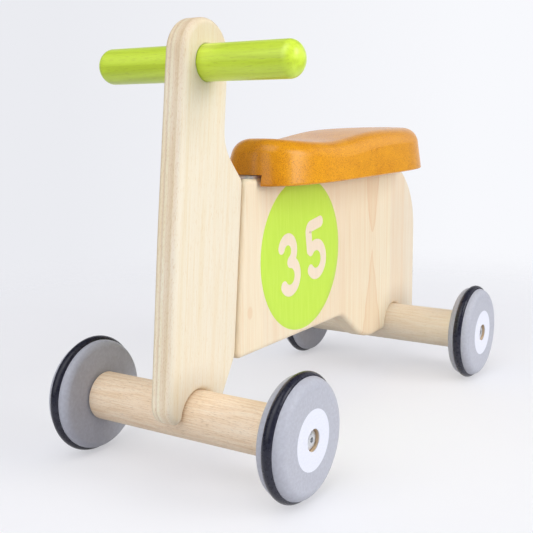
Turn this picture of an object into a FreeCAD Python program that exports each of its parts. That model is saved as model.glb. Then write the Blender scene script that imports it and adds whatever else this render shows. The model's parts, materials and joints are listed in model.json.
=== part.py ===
import FreeCAD, Part
import math
import os

# Wooden four-wheeled ride-on bike with a hinged steering board.
# Millimetres. +X is forward, +Y is the rider's left, +Z is up.
# The origin is on the floor, under the middle of the whole toy.

Vector = FreeCAD.Vector
X_AXIS = Vector(1, 0, 0)
Y_AXIS = Vector(0, 1, 0)
Z_AXIS = Vector(0, 0, 1)

# Stance
wheelbase = 368.6
tyre_radius = 50.0
body_tail = 56.2

# Boards
board_thickness = 21.0
board_edge_round = 5.0
hole_edge_break = 0.8

# Steering axis: it leans back at the top and crosses axle height behind the front axle
rake_angle = 6.1
steering_trail = 50.2
steering_gap = 2.4
same_point_share = 0.001

# Steering board: the crown rises over the handlebar, and the waist over the ledge
crown_rise = 34.2
board_depth = 88.9
crown_lean = 3.0
front_bend_height = 200.0
front_bend_round = 1500.0
column_inset = 28.7
waist_rise = 28.4
waist_round = 32.0
hip_round = 6.0
heel_height = 86.0
heel_round = 8.0
front_prong_drop = 6.0
front_prong_round = 6.8
rear_prong_drop = 8.9
rear_prong_round = 6.0
toe_height = 58.0
toe_round = 17.5

# Body panel
ledge_height = 233.6
belly_height = 81.6
foot_drop = 4.6
foot_tip_round = 7.0
body_corner_round = 6.0
arch_start_reach = 124.0
arch_start_round = 20.0
arch_end_reach = 74.0
arch_end_round = 75.0
tail_bottom_round = 12.0
tail_top_round = 80.0

# Axle beams
beam_radius = 20.5
beam_length = 183.0
beam_end_break = 1.0
saddle_flare_angle = 18.0

# Handlebar
handlebar_radius = 14.35
handlebar_length = 191.4
handlebar_dome = 11.5
handlebar_height = 326.8
handlebar_setback = 21.6
glue_groove_width = 1.0
glue_groove_depth = 0.4
glue_groove_reach = 0.2

# Wheels, measured from the wheel's middle plane
wheel_width = 22.9
wheel_radius = 47.0
wheel_outer_round = 8.5
wheel_inner_round = 6.0
tyre_section_radius = 4.7
hub_disc_radius = 23.7
hub_disc_thickness = 0.6
bolt_well_radius = 8.7
bolt_well_depth = 8.0
bush_radius = 6.0
bush_wall = 1.95

# Wheel bolts, washers and threaded inserts
running_clearance = 0.05
washer_clearance = 0.1
end_play = 0.2
inner_washer_radius = 9.0
inner_washer_thickness = 0.9
outer_washer_radius = 8.0
outer_washer_thickness = 1.2
bolt_head_radius = 7.6
bolt_head_height = 4.0
bolt_head_crown = 1.0
bolt_crown_share = 0.6
bolt_socket_width = 4.0
bolt_socket_depth = 2.4
bolt_tail_radius = 3.0
bolt_tail_length = 18.0
insert_radius = 5.0
insert_length = 20.0

# Screws: shank radius, length, head radius and head height
beam_screw_radius = 2.5
beam_screw_length = 70.0
beam_screw_head_radius = 5.0
beam_screw_head_height = 3.4
beam_screw_sink = 4.0
beam_screw_sink_radius = 5.6
bar_screw_radius = 1.9
bar_screw_length = 32.0
bar_screw_head_radius = 3.6
bar_screw_head_height = 2.4
strap_screw_radius = 1.75
strap_screw_length = 20.0
strap_screw_head_radius = 3.3
strap_screw_head_height = 1.9
screw_point_share = 0.12
screw_socket_share = 0.42
screw_socket_depth_share = 0.6

# Steering hinge: the upper eyes lie under the ledge, the lower ones over the belly
hinge_pin_radius = 2.5
pin_groove_radius = 3.0
pin_head_radius = 4.0
pin_head_height = 1.5
eye_radius = 4.6
eye_height = 5.0
eye_pocket_clearance = 0.5
eye_shank_radius = 2.2
eye_shank_length = 26.0
upper_eye_drop = 10.6
lower_eye_rise = 22.4
eye_stack_gap = 0.4
pin_tail = 3.0
strap_thickness = 2.0
strap_width = 9.6
strap_length = 42.0
strap_neck_length = 11.0
strap_plate_width = 19.6
strap_plate_round = 3.0
strap_hip_clearance = 0.6
strap_screw_count = 2
strap_screw_first_share = 0.45
strap_screw_pitch = 12.0

# Seat: its flanks hang over the ledge
seat_overlap = 7.1
seat_height = 44.5
seat_length = 291.5
seat_width = 103.0
seat_front_setback = 16.8
seat_taper_share = 0.015
nose_fullness = 3.2
nose_top_fullness = 2.35
tail_fullness = 4.8
seat_draft_angle = 7.0
nose_draft_angle = 14.0
seat_crown = 3.0
seat_edge_round = 17.0
seat_lower_round = 1.6
seat_plan_points = 36
seat_top_shares = [
    (-0.15, 0.880),
    (0.00, 0.886),
    (0.12, 0.876),
    (0.33, 0.828),
    (0.44, 0.893),
    (0.56, 0.968),
    (0.72, 1.000),
    (0.88, 0.990),
    (1.00, 0.960),
    (1.15, 0.905),
]
seat_across_shares = [-1.3, -0.65, 0.0, 0.65, 1.3]
seat_blank_share = 1.25
seat_top_zone_share = 0.5
notch_width = 28.0
notch_clearance = 0.5

# Seat dowels
dowel_radius = 4.0
dowel_length = 34.0
dowel_shares = [0.34, 0.72]

# Places worked out from the sizes above
same_point = steering_gap * same_point_share
overall_length = tyre_radius + wheelbase + body_tail
front_axle_x = overall_length / 2 - tyre_radius
rear_axle_x = front_axle_x - wheelbase
axle_height = tyre_radius
board_top = handlebar_height + crown_rise
waist_height = ledge_height + waist_rise
upper_eye_height = ledge_height - upper_eye_drop
lower_eye_height = belly_height + lower_eye_rise
seat_bottom = ledge_height - seat_overlap
half_board = board_thickness / 2
rake = math.radians(rake_angle)
bush_bore_radius = bush_radius - bush_wall
bolt_shoulder_radius = bush_bore_radius - running_clearance
beam_end = beam_length / 2
wheel_inner_face = beam_end + inner_washer_thickness + end_play
wheel_middle = wheel_inner_face + wheel_width / 2
wheel_outer_face = wheel_inner_face + wheel_width
eye_bore_radius = hinge_pin_radius + running_clearance
eye_pocket_radius = eye_radius + eye_pocket_clearance
handlebar_x = front_axle_x - handlebar_setback


def axis_x(height):
    """X of the steering axis at a height."""
    base = front_axle_x - steering_trail
    return base - (height - axle_height) * math.tan(rake)


def beside_axis(reach, height):
    """Outline point, a reach in front of the steering axis at a height."""
    return axis_x(height) + reach, height


def rounded_outline(corners):
    """Closed wire in the XZ plane: straight sides joined by tangent arcs.

    Each corner is x, z and the radius of the arc that rounds it.
    """
    count = len(corners)
    arcs = []
    for i in range(count):
        before = Vector(corners[i - 1][0], 0, corners[i - 1][1])
        corner = Vector(corners[i][0], 0, corners[i][1])
        after = Vector(corners[(i + 1) % count][0], 0, corners[(i + 1) % count][1])
        radius = corners[i][2]
        back = (before - corner).normalize()
        ahead = (after - corner).normalize()
        half_angle = back.getAngle(ahead) / 2
        run = radius / math.tan(half_angle)
        start = corner + back * run
        end = corner + ahead * run
        middle_way = (back + ahead).normalize()
        middle = corner + middle_way * (radius / math.sin(half_angle) - radius)
        arcs.append((start, middle, end))
    edges = []
    for i in range(count):
        start, middle, end = arcs[i]
        edges.append(Part.Arc(start, middle, end).toShape())
        next_start = arcs[(i + 1) % count][0]
        if (next_start - end).Length > same_point:
            edges.append(Part.LineSegment(end, next_start).toShape())
    return Part.Wire(edges)


def blank_of(corners):
    """Board blank with square edges, centred on the middle plane."""
    face = Part.Face(rounded_outline(corners))
    face.translate(Y_AXIS * -half_board)
    return face.extrude(Y_AXIS * board_thickness)


def with_rounded_edges(blank):
    """Board blank with both rims of its outline rounded."""
    rims = []
    for face in blank.Faces:
        if face.BoundBox.YLength < same_point:
            rims.extend(face.Edges)
    return blank.makeFillet(board_edge_round, rims)


def cross_cylinder(x, z, radius, length):
    """Cylinder across the toy, centred on the middle plane."""
    return Part.makeCylinder(radius, length, Vector(x, -length / 2, z), Y_AXIS)


def rims_of(shape):
    """Circular edges of a turned shape."""
    return [edge for edge in shape.Edges if isinstance(edge.Curve, Part.Circle)]


def revolved(profile):
    """Solid of revolution about Z from a list of radius and height pairs."""
    points = [Vector(radius, 0, height) for radius, height in profile]
    return Part.Face(Part.makePolygon(points + points[:1])).revolve(Vector(), Z_AXIS, 360)


def screw_hole(radius, length, head_radius, head_height):
    """Countersunk hole that a wood screw fills, its mouth at the origin, along +Z."""
    point = length * screw_point_share
    return revolved([
        (0, 0), (head_radius, 0), (radius, head_height),
        (radius, length - point), (0, length)])


def wood_screw(radius, length, head_radius, head_height):
    """Countersunk wood screw, its head at the origin and its point along +Z."""
    socket = hex_socket(head_radius * screw_socket_share * 2, head_height * screw_socket_depth_share)
    return screw_hole(radius, length, head_radius, head_height).cut(socket)


def hex_socket(width, depth):
    """Hexagonal recess from the origin along +Z, sized across its flats."""
    reach = width / math.sqrt(3)
    corners = []
    for i in range(6):
        turn = math.radians(60 * i)
        corners.append(Vector(reach * math.cos(turn), reach * math.sin(turn), 0))
    return Part.Face(Part.makePolygon(corners + corners[:1])).extrude(Z_AXIS * depth)


def along_axis(shape):
    """Move a shape from a plain upright frame onto the leaning steering axis.

    The upright frame has its Z on the axis and its zero at floor level.
    """
    shape.rotate(Vector(), Y_AXIS, -rake_angle)
    shape.translate(Vector(axis_x(0), 0, 0))
    return shape


def on_axis(height):
    """Distance along the steering axis from the floor to a height."""
    return height / math.cos(rake)


# Outlines of the two boards
def saddle_corners(axle_x, front_drop, front_round, rear_drop, rear_round):
    """Outline corners of the open saddle over an axle beam, front tip first.

    The arc follows the beam. Under it both flanks run on straight and flare out.
    """
    flare = math.radians(saddle_flare_angle)
    shoulder_turn = (math.pi / 2 + flare) / 2
    shoulder_reach = beam_radius / math.sin(shoulder_turn)
    shoulder_x = shoulder_reach * math.cos(shoulder_turn)
    shoulder_z = axle_height + beam_radius
    front_x = (beam_radius + front_drop * math.sin(flare)) / math.cos(flare)
    rear_x = (beam_radius + rear_drop * math.sin(flare)) / math.cos(flare)
    return [
        (axle_x + front_x, axle_height - front_drop, front_round),
        (axle_x + shoulder_x, shoulder_z, beam_radius),
        (axle_x - shoulder_x, shoulder_z, beam_radius),
        (axle_x - rear_x, axle_height - rear_drop, rear_round),
    ]


def steering_board_corners():
    """Outline of the steering board, from the crown down the front edge."""
    top_front = beside_axis(board_depth - crown_lean, board_top)
    top_rear = beside_axis(column_inset, board_top)
    bend = beside_axis(board_depth, front_bend_height)
    lean = math.atan((bend[0] - top_front[0]) / (board_top - front_bend_height))
    front_turn = math.pi / 2 - lean
    rear_turn = math.pi / 2 + rake
    crown_radius = (top_front[0] - top_rear[0]) / (
        math.tan(front_turn / 2) + math.tan(rear_turn / 2))
    corners = [
        (*top_front, crown_radius),
        (*bend, front_bend_round),
        (*beside_axis(board_depth, toe_height), toe_round),
    ]
    corners += saddle_corners(
        front_axle_x, front_prong_drop, front_prong_round, rear_prong_drop, rear_prong_round)
    corners += [
        (*beside_axis(steering_gap / 2, heel_height), heel_round),
        (*beside_axis(steering_gap / 2, ledge_height), hip_round),
        (*beside_axis(column_inset, waist_height), waist_round),
        (*top_rear, crown_radius),
    ]
    return corners


def body_panel_corners():
    """Outline of the body panel, from the ledge down the hinge edge."""
    foot = axle_height - foot_drop
    tail_x = rear_axle_x - body_tail
    corners = [
        (*beside_axis(-steering_gap / 2, ledge_height), body_corner_round),
        (*beside_axis(-steering_gap / 2, belly_height), body_corner_round),
        (rear_axle_x + arch_start_reach, belly_height, arch_start_round),
        (rear_axle_x + arch_end_reach, foot, arch_end_round),
    ]
    corners += saddle_corners(rear_axle_x, foot_drop, foot_tip_round, foot_drop, foot_tip_round)
    corners += [
        (tail_x, foot, tail_bottom_round),
        (tail_x, ledge_height, tail_top_round),
    ]
    return corners


# Cuts that the hinge needs in the boards
def axis_cylinder(radius, low, high):
    """Cylinder on the steering axis between two distances along it."""
    return along_axis(Part.makeCylinder(radius, high - low, Vector(0, 0, low)))


def eye_bottoms():
    """Distances along the axis of the undersides of the eyes: board's two, then body's."""
    upper = on_axis(upper_eye_height)
    lower = on_axis(lower_eye_height)
    return [upper, lower], lower + eye_height + eye_stack_gap


def pin_groove():
    """Shallow channel that both boards share along the hinge pin."""
    return axis_cylinder(pin_groove_radius, 0, on_axis(board_top))


def eye_pockets():
    """Round pockets that clear the eyes where the two boards meet."""
    board_eyes, body_eye = eye_bottoms()
    pockets = []
    for bottom in board_eyes + [body_eye]:
        low = bottom - eye_pocket_clearance
        high = bottom + eye_height + eye_pocket_clearance
        pockets.append(axis_cylinder(eye_pocket_radius, low, high))
    return pockets


def eye_shank(bottom, forward):
    """Shank of a screw eye, square to the axis, forward into one board or back into the other."""
    shank = Part.makeCylinder(
        eye_shank_radius, eye_shank_length, Vector(0, 0, bottom + eye_height / 2), X_AXIS * forward)
    return along_axis(shank)


def screw_eye(bottom, forward, bore):
    """Screw eye: a ring round the hinge pin on a shank."""
    ring = Part.makeCylinder(eye_radius, eye_height, Vector(0, 0, bottom))
    shank = Part.makeCylinder(
        eye_shank_radius, eye_shank_length, Vector(0, 0, bottom + eye_height / 2), X_AXIS * forward)
    hole = Part.makeCylinder(bore, eye_height, Vector(0, 0, bottom))
    return along_axis(ring.fuse(shank).cut(hole))


def strap_screw_places():
    """X of each screw along the hinge strap."""
    first = axis_x(ledge_height) - strap_length * strap_screw_first_share
    return [first - i * strap_screw_pitch for i in range(strap_screw_count)]


def strap_screw(x, made=wood_screw):
    """One countersunk screw through the hinge strap, pointing down, or its hole."""
    screw = made(strap_screw_radius, strap_screw_length, strap_screw_head_radius, strap_screw_head_height)
    screw.rotate(Vector(), X_AXIS, 180)
    screw.translate(Vector(x, 0, ledge_height + strap_thickness))
    return screw


def beam_screw(axle_x, made=wood_screw):
    """Screw up through an axle beam into the board above it, or its hole."""
    screw = made(beam_screw_radius, beam_screw_length, beam_screw_head_radius, beam_screw_head_height)
    screw.translate(Vector(axle_x, 0, axle_height - beam_radius + beam_screw_sink))
    return screw


def handlebar_screw(made=wood_screw):
    """Screw through the column's rear edge that locks the handlebar, or its hole."""
    screw = made(bar_screw_radius, bar_screw_length, bar_screw_head_radius, bar_screw_head_height)
    screw.rotate(Vector(), Y_AXIS, 90)
    screw.translate(Vector(handlebar_x - bar_screw_length, 0, handlebar_height))
    return screw


def glue_groove(side):
    """Narrow groove round the bar where it leaves the board, which takes up spare glue."""
    middle = half_board + glue_groove_reach - glue_groove_width / 2
    ring = cross_cylinder(handlebar_x, handlebar_height, handlebar_radius, glue_groove_width)
    core = cross_cylinder(
        handlebar_x, handlebar_height, handlebar_radius - glue_groove_depth, glue_groove_width)
    groove = ring.cut(core)
    groove.translate(Y_AXIS * side * middle)
    return groove


def handlebar():
    """Straight round bar with domed ends."""
    shoulder = handlebar_length / 2 - handlebar_dome
    tip = handlebar_length / 2
    domes = []
    for end in (1, -1):
        dome = Part.BezierCurve()
        dome.setPoles([
            Vector(handlebar_radius, 0, end * shoulder), Vector(handlebar_radius, 0, end * tip),
            Vector(0, 0, end * tip)])
        dome.setWeight(2, math.sqrt(1 / 2))
        domes.append(dome.toShape())
    side = Part.makeLine(Vector(handlebar_radius, 0, -shoulder), Vector(handlebar_radius, 0, shoulder))
    spine = Part.makeLine(Vector(0, 0, tip), Vector(0, 0, -tip))
    outline = Part.Wire(Part.sortEdges([side, domes[0], spine, domes[1]])[0])
    bar = Part.Face(outline).revolve(Vector(), Z_AXIS, 360)
    bar.rotate(Vector(), X_AXIS, -90)
    bar.translate(Vector(handlebar_x, 0, handlebar_height))
    return bar.cut([glue_groove(1), glue_groove(-1), handlebar_screw(screw_hole)])


def steering_board():
    """Plywood board: column, hip, and saddle over the front beam."""
    board = with_rounded_edges(blank_of(steering_board_corners()))
    cutters = [cross_cylinder(handlebar_x, handlebar_height, handlebar_radius, board_thickness)]
    for side in (1, -1):
        mouth = Part.makeCone(
            handlebar_radius + hole_edge_break, handlebar_radius, hole_edge_break,
            Vector(handlebar_x, side * half_board, handlebar_height), Y_AXIS * -side)
        cutters.append(mouth)
    cutters.append(pin_groove())
    cutters += eye_pockets()
    board_eyes, body_eye = eye_bottoms()
    cutters += [eye_shank(bottom, 1) for bottom in board_eyes]
    strap_bottom = on_axis(ledge_height - strap_hip_clearance)
    cutters.append(axis_cylinder(
        strap_width / 2 + strap_hip_clearance, strap_bottom, strap_bottom + on_axis(strap_length)))
    cutters += [handlebar_screw(screw_hole), beam_screw(front_axle_x, screw_hole)]
    return board.cut(cutters)


def body_panel():
    """Glued hardwood panel that carries the seat and the rear beam."""
    panel = with_rounded_edges(blank_of(body_panel_corners()))
    cutters = [pin_groove()] + eye_pockets()
    board_eyes, body_eye = eye_bottoms()
    cutters.append(eye_shank(body_eye, -1))
    cutters += [strap_screw(x, screw_hole) for x in strap_screw_places()]
    cutters += seat_dowels()
    cutters.append(beam_screw(rear_axle_x, screw_hole))
    return panel.cut(cutters)


def axle_beam(axle_x):
    """Round beam with a threaded insert seat in each end and a screw hole from below."""
    beam = cross_cylinder(axle_x, axle_height, beam_radius, beam_length)
    beam = beam.makeChamfer(beam_end_break, rims_of(beam))
    sink = Part.makeCylinder(
        beam_screw_sink_radius, beam_screw_sink * 2,
        Vector(axle_x, 0, axle_height - beam_radius - beam_screw_sink))
    cutters = [sink, beam_screw(axle_x, screw_hole)]
    for side in (1, -1):
        cutters.append(at_wheel(
            Part.makeCylinder(insert_radius, insert_length, Vector(0, 0, beam_end - insert_length)),
            axle_x, side))
    return beam.cut(cutters)


# Wheel sets are drawn about Z, with height as distance from the middle plane, then laid over
def at_wheel(shape, axle_x, side):
    """Lay a shape drawn about Z along an axle, towards one side."""
    shape.rotate(Vector(), X_AXIS, -90 * side)
    shape.translate(Vector(axle_x, 0, axle_height))
    return shape


def tyre_ring():
    """Ring of round rubber in the groove of a wheel."""
    return Part.makeTorus(
        tyre_radius - tyre_section_radius, tyre_section_radius, Vector(0, 0, wheel_middle))


def wheel_disc():
    """Turned wooden disc with round shoulders, tyre groove, disc recess and bolt well."""
    disc = Part.makeCylinder(wheel_radius, wheel_width, Vector(0, 0, wheel_inner_face))
    outer_rim = [rim for rim in rims_of(disc) if rim.CenterOfMass.z > wheel_middle]
    disc = disc.makeFillet(wheel_outer_round, outer_rim)
    inner_rim = [rim for rim in rims_of(disc) if rim.CenterOfMass.z < wheel_middle]
    disc = disc.makeFillet(wheel_inner_round, inner_rim)
    recess = Part.makeCylinder(
        hub_disc_radius, hub_disc_thickness * 2, Vector(0, 0, wheel_outer_face - hub_disc_thickness))
    well = Part.makeCylinder(
        bolt_well_radius, bolt_well_depth * 2, Vector(0, 0, wheel_outer_face - bolt_well_depth))
    bore = Part.makeCylinder(bush_radius, wheel_width, Vector(0, 0, wheel_inner_face))
    return disc.cut([tyre_ring(), recess, well, bore])


def hub_disc():
    """Thin disc let into the outer face of a wheel round the bolt well."""
    bottom = wheel_outer_face - hub_disc_thickness
    disc = Part.makeCylinder(hub_disc_radius, hub_disc_thickness, Vector(0, 0, bottom))
    return disc.cut(Part.makeCylinder(bolt_well_radius, hub_disc_thickness, Vector(0, 0, bottom)))


def wheel_bush():
    """Bush pressed into a wheel, from its inner face to the floor of the bolt well."""
    length = wheel_width - bolt_well_depth
    bush = Part.makeCylinder(bush_radius, length, Vector(0, 0, wheel_inner_face))
    return bush.cut(Part.makeCylinder(bush_bore_radius, length, Vector(0, 0, wheel_inner_face)))


def washer(radius, bottom, thickness):
    """Flat washer on a wheel bolt."""
    ring = Part.makeCylinder(radius, thickness, Vector(0, 0, bottom))
    hole = Part.makeCylinder(bolt_shoulder_radius + washer_clearance, thickness, Vector(0, 0, bottom))
    return ring.cut(hole)


def washer_pair():
    """Washer at the end of the beam, and washer under the bolt's head."""
    floor = wheel_outer_face - bolt_well_depth
    return [
        washer(inner_washer_radius, beam_end, inner_washer_thickness),
        washer(outer_washer_radius, floor + end_play, outer_washer_thickness),
    ]


def wheel_bolt():
    """Shoulder bolt that a wheel turns on, screwed into the beam's insert."""
    head_bottom = wheel_outer_face - bolt_well_depth + end_play + outer_washer_thickness
    head_rim = head_bottom + bolt_head_height
    head_top = head_rim + bolt_head_crown
    bolt = revolved([
        (0, beam_end - bolt_tail_length), (bolt_tail_radius, beam_end - bolt_tail_length),
        (bolt_tail_radius, beam_end), (bolt_shoulder_radius, beam_end),
        (bolt_shoulder_radius, head_bottom), (bolt_head_radius, head_bottom),
        (bolt_head_radius, head_rim), (bolt_head_radius * bolt_crown_share, head_top), (0, head_top)])
    socket = hex_socket(bolt_socket_width, bolt_socket_depth)
    socket.translate(Z_AXIS * (head_top - bolt_socket_depth))
    return bolt.cut(socket)


def threaded_insert():
    """Metal insert in the end of a beam, open right through."""
    bottom = beam_end - insert_length
    sleeve = Part.makeCylinder(insert_radius, insert_length, Vector(0, 0, bottom))
    return sleeve.cut(Part.makeCylinder(bolt_tail_radius, insert_length, Vector(0, 0, bottom)))


# Hinge hardware
def hinge_pin():
    """Long steel pin from the lower eyes to the strap on the ledge, with a low round head."""
    bottom = on_axis(lower_eye_height) - pin_tail
    top = on_axis(ledge_height + strap_thickness)
    rise = strap_width / 2 * math.tan(rake)
    pin = Part.makeCylinder(hinge_pin_radius, top + rise - bottom, Vector(0, 0, bottom))
    head = Part.makeCylinder(pin_head_radius, pin_head_height, Vector(0, 0, top + rise))
    half_head = pin_head_height / 2
    upper_rim = [rim for rim in rims_of(head) if rim.CenterOfMass.z > top + rise + half_head]
    head = head.makeFillet(half_head, upper_rim)
    return along_axis(pin.fuse(head))


def hinge_strap():
    """Flat steel strap on the ledge: an eye round the hinge pin, a neck and a wider plate."""
    eye_x = axis_x(ledge_height)
    eye = Part.makeCylinder(strap_width / 2, strap_thickness, Vector(eye_x, 0, ledge_height))
    neck = Part.makeBox(
        strap_neck_length, strap_width, strap_thickness,
        Vector(eye_x - strap_neck_length, -strap_width / 2, ledge_height))
    plate = Part.makeBox(
        strap_length - strap_neck_length, strap_plate_width, strap_thickness,
        Vector(eye_x - strap_length, -strap_plate_width / 2, ledge_height))
    corners = [edge for edge in plate.Edges if edge.BoundBox.ZLength > strap_thickness / 2]
    plate = plate.makeFillet(strap_plate_round, corners)
    strap = eye.fuse([neck, plate]).removeSplitter()
    bore = axis_cylinder(hinge_pin_radius, 0, on_axis(board_top))
    return strap.cut([bore] + [strap_screw(x, screw_hole) for x in strap_screw_places()])


# Seat
def seat_front_x():
    """X of the seat's front, behind the steering axis at ledge height."""
    return axis_x(ledge_height) - seat_front_setback


def seat_plan(height, draw_in, nose_draw_in, nose):
    """Closed curve of the seat seen from above: a rounded oblong, squarer at the tail.

    It follows |x|^n + |y|^n = 1, with one n for the nose and a larger one for the tail.
    """
    half_width = seat_width / 2 - draw_in
    middle = seat_front_x() - seat_length / 2
    points = []
    for i in range(seat_plan_points):
        turn = 2 * math.pi * i / seat_plan_points
        ahead = math.cos(turn) > 0
        fullness = nose if ahead else tail_fullness
        half_length = seat_length / 2 - (nose_draw_in if ahead else draw_in)
        along = math.copysign(abs(math.cos(turn)) ** (2 / fullness), math.cos(turn))
        across = math.copysign(abs(math.sin(turn)) ** (2 / fullness), math.sin(turn))
        width = half_width * (1 - seat_taper_share * along)
        points.append(Vector(middle + half_length * along, width * across, height))
    curve = Part.BSplineCurve()
    curve.interpolate(points, PeriodicFlag=True)
    return Part.Wire(curve.toShape())


def seat_top_surface():
    """Top of the seat: low nose, dip for the thighs and a raised tail, crowned across."""
    rows = []
    for along, rise in seat_top_shares:
        row = []
        for across in seat_across_shares:
            height = seat_bottom + seat_height * rise - seat_crown * across * across
            row.append(Vector(seat_front_x() - seat_length * along, seat_width / 2 * across, height))
        rows.append(row)
    surface = Part.BSplineSurface()
    surface.interpolate(rows)
    return surface.toShape()


def seat():
    """Moulded seat: crowned, dipped and drawn in, with a groove that sits over the panel."""
    blank_height = seat_height * seat_blank_share
    draw_in = blank_height * math.tan(math.radians(seat_draft_angle))
    nose_draw_in = blank_height * math.tan(math.radians(nose_draft_angle))
    foot = seat_plan(seat_bottom, 0, 0, nose_fullness)
    head = seat_plan(seat_bottom + blank_height, draw_in, nose_draw_in, nose_top_fullness)
    blank = Part.makeLoft([foot, head], True, True)
    under = seat_top_surface().extrude(Z_AXIS * -(seat_height * 2))
    shape = blank.common(under)
    zone = seat_bottom + seat_height * seat_top_zone_share
    top_edges = [e for e in shape.Edges if e.BoundBox.ZMin > zone and not seam_of(shape, e)]
    shape = shape.makeFillet(seat_edge_round, top_edges)
    low_edges = [e for e in shape.Edges if e.BoundBox.ZMax < seat_bottom + seat_lower_round]
    shape = shape.makeFillet(seat_lower_round, low_edges)
    notch_top = ledge_height + strap_thickness + notch_clearance
    notch_length = strap_length - seat_front_setback + strap_width / 2
    notch = Part.makeBox(
        notch_length * 2, notch_width, notch_top - seat_bottom,
        Vector(seat_front_x() - notch_length, -notch_width / 2, seat_bottom))
    return shape.cut([blank_of(body_panel_corners()), notch] + seat_dowels())


def seam_of(shape, edge):
    """True where an edge is only the seam of one closed face."""
    owners = [face for face in shape.Faces if any(edge.isSame(e) for e in face.Edges)]
    return len(owners) < 2


def seat_dowels():
    """Wooden dowels between the panel's top edge and the seat."""
    dowels = []
    for share in dowel_shares:
        x = seat_front_x() - seat_length * share
        dowels.append(Part.makeCylinder(
            dowel_radius, dowel_length, Vector(x, 0, ledge_height - dowel_length / 2)))
    return dowels


def save(name, shape):
    """Write one named piece, or one group of like pieces."""
    if isinstance(shape, list):
        shape = Part.makeCompound(shape)
    shape.exportStep("parts/" + name + ".step")


os.makedirs("parts", exist_ok=True)

save("body_panel", body_panel())
save("seat", seat())
save("seat_dowels", seat_dowels())
save("steering_board", steering_board())
save("handlebar", handlebar())
save("handlebar_screw", handlebar_screw())

board_eye_places, body_eye_place = eye_bottoms()
save("board_hinge_eyes", [screw_eye(place, 1, eye_bore_radius) for place in board_eye_places])
save("body_hinge_eye", screw_eye(body_eye_place, -1, hinge_pin_radius))
save("hinge_pin", hinge_pin())
save("hinge_strap", hinge_strap())
save("strap_screws", [strap_screw(x) for x in strap_screw_places()])

for axle, axle_x in (("front", front_axle_x), ("rear", rear_axle_x)):
    save(axle + "_axle_beam", axle_beam(axle_x))
    save(axle + "_beam_screw", beam_screw(axle_x))
    sides = (1, -1)
    save(axle + "_axle_inserts", [at_wheel(threaded_insert(), axle_x, side) for side in sides])
    save(axle + "_wheel_bolts", [at_wheel(wheel_bolt(), axle_x, side) for side in sides])
    washers = [at_wheel(ring, axle_x, side) for side in sides for ring in washer_pair()]
    save(axle + "_wheel_washers", washers)
    for hand, side in (("left", 1), ("right", -1)):
        corner = axle + "_" + hand
        save(corner + "_wheel", at_wheel(wheel_disc(), axle_x, side))
        save(corner + "_tyre", at_wheel(tyre_ring(), axle_x, side))
        save(corner + "_hub_disc", at_wheel(hub_disc(), axle_x, side))
        save(corner + "_wheel_bush", at_wheel(wheel_bush(), axle_x, side))
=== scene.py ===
"""Wooden four-wheeled balance bike: its finishes, its number field, the studio and the camera."""

import json
import logging
import math
from abc import ABC, abstractmethod
from dataclasses import dataclass, field
from enum import Enum

import bmesh
import bpy
import numpy as np
from mathutils import Matrix, Vector


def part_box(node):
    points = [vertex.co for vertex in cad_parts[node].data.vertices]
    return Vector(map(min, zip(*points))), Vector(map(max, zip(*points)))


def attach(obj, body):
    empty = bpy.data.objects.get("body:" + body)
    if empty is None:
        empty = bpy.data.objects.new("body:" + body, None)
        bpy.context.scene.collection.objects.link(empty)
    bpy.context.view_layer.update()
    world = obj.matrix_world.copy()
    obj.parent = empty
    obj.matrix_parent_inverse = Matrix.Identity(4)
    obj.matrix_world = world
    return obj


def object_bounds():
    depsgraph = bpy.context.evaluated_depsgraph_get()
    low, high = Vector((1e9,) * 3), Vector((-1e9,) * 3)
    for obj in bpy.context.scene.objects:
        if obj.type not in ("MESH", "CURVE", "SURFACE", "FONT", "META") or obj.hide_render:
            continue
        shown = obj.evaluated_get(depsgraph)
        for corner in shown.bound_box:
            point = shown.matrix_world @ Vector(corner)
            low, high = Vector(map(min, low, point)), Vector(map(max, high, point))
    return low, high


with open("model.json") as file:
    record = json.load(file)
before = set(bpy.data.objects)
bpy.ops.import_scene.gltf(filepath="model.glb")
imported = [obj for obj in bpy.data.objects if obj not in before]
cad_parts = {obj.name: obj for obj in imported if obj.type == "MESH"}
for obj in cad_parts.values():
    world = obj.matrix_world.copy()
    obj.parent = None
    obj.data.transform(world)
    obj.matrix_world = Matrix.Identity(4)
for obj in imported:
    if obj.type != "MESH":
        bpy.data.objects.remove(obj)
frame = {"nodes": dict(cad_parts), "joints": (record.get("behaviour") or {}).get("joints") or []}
cad_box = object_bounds()

log = logging.getLogger("balance_bike")

Socket = bpy.types.NodeSocket
Tree = bpy.types.NodeTree
Inputs = dict[str | int, "Socket | float | tuple[float, ...]"]
Stops = tuple[tuple[float, str], ...]
Pair = tuple[float, float]
Triple = tuple[float, float, float]
Constants = tuple[tuple[str, float], ...]

MM = 0.001
# Points of a mesh that lie closer than this, in millimetres, are one point
MERGE_MM = 0.0002
# Scale of a wave texture at which its rings lie about one unit apart
ONE_RING = 0.31
# Degrees from point to point along a digit's arc, and points along a digit's straight run
ARC_STEP = 4.0
RUN_POINTS = 10
# Millimetres within which two points of a digit's path are one, and a length that counts as nothing
DOUBLED = 0.01
TINY = 1e-6


class Side(Enum):
    """The two faces of the bike, by the sign of Y."""

    LEFT = 1
    RIGHT = -1


class Axle(Enum):
    """The two axles, by the first word of their nodes' names."""

    FRONT = "front"
    REAR = "rear"


# Places taken from the frame


def reach(node: str, axis: int) -> Pair:
    """Lowest and highest place of a CAD node along an axis, in millimetres.

    Args:
        node: Name of the CAD node.
        axis: 0, 1 or 2 for X, Y or Z.

    Returns:
        Lowest and highest place.
    """
    low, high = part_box(node)
    return low[axis] / MM, high[axis] / MM


def middle(node: str, axis: int) -> float:
    """Middle of a CAD node along an axis, in millimetres."""
    return sum(reach(node, axis)) / 2


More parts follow.
